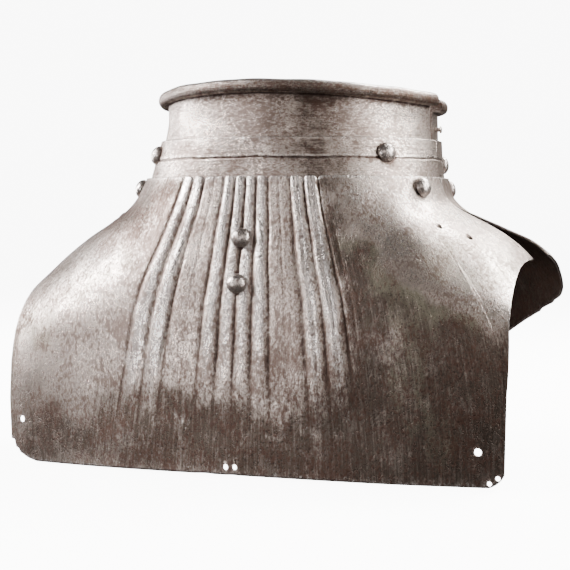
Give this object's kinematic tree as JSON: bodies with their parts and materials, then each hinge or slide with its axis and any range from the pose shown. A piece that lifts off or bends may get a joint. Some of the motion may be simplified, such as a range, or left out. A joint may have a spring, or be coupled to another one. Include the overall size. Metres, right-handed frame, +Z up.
{
  "type": "fluted steel gorget",
  "caption": "Steel gorget of plate armour: fluted front and plain back, each with a neck lame and a high collar with a turned rim, hinged at one shoulder.",
  "frame": {"origin": "middle of the footprint, on the surface that the gorget stands on", "axes": "+Z up; +X to the wearer's left, where the gorget opens; the fluted front faces -Y"},
  "size_m": [0.2874, 0.2132, 0.2088],
  "materials": {
    "plate_steel": "old polished steel with brown patina and fine pits",
    "rivet_steel": "dark domed rivet heads"
  },
  "bodies": {
    "front_half": {"front_plate": "plate_steel", "front_plate_rivet_left": "rivet_steel", "front_plate_rivet_right": "rivet_steel", "middle_rivet_upper": "rivet_steel", "middle_rivet_lower": "rivet_steel"},
    "front_lame": {"front_lame": "plate_steel", "front_lame_rivet_left": "rivet_steel", "front_lame_rivet_right": "rivet_steel"},
    "front_collar": {"front_collar": "plate_steel"},
    "back_half": {"back_plate": "plate_steel", "back_plate_rivet_left": "rivet_steel", "back_plate_rivet_right": "rivet_steel", "pivot_rivet": "rivet_steel"},
    "back_lame": {"back_lame": "plate_steel", "back_lame_rivet_left": "rivet_steel", "back_lame_rivet_right": "rivet_steel"},
    "back_collar": {"back_collar": "plate_steel", "closing_stud": "rivet_steel"}
  },
  "joints": [
    {"name": "opening_pivot", "type": "hinge", "parent": "front_half", "child": "back_half", "pos_m": [-0.10542, -0.01786, 0.1341], "axis": [-0.4499, -0.0557, 0.8914], "range_deg": [0, 26]},
    {"name": "front_lame_tilt", "type": "hinge", "parent": "front_half", "child": "front_lame", "pos_m": [0, -0.03995, 0.15085], "axis": [-1, 0, 0], "range_deg": [0, 2]},
    {"name": "front_collar_tilt", "type": "hinge", "parent": "front_lame", "child": "front_collar", "pos_m": [0, -0.05206, 0.16962], "axis": [-1, 0, 0], "range_deg": [0, 3]},
    {"name": "back_lame_tilt", "type": "hinge", "parent": "back_half", "child": "back_lame", "pos_m": [0, 0.03416, 0.15116], "axis": [1, 0, 0], "range_deg": [0, 3]},
    {"name": "back_collar_tilt", "type": "hinge", "parent": "back_lame", "child": "back_collar", "pos_m": [0, 0.02875, 0.1652], "axis": [1, 0, 0], "range_deg": [0, 3]}
  ]
}
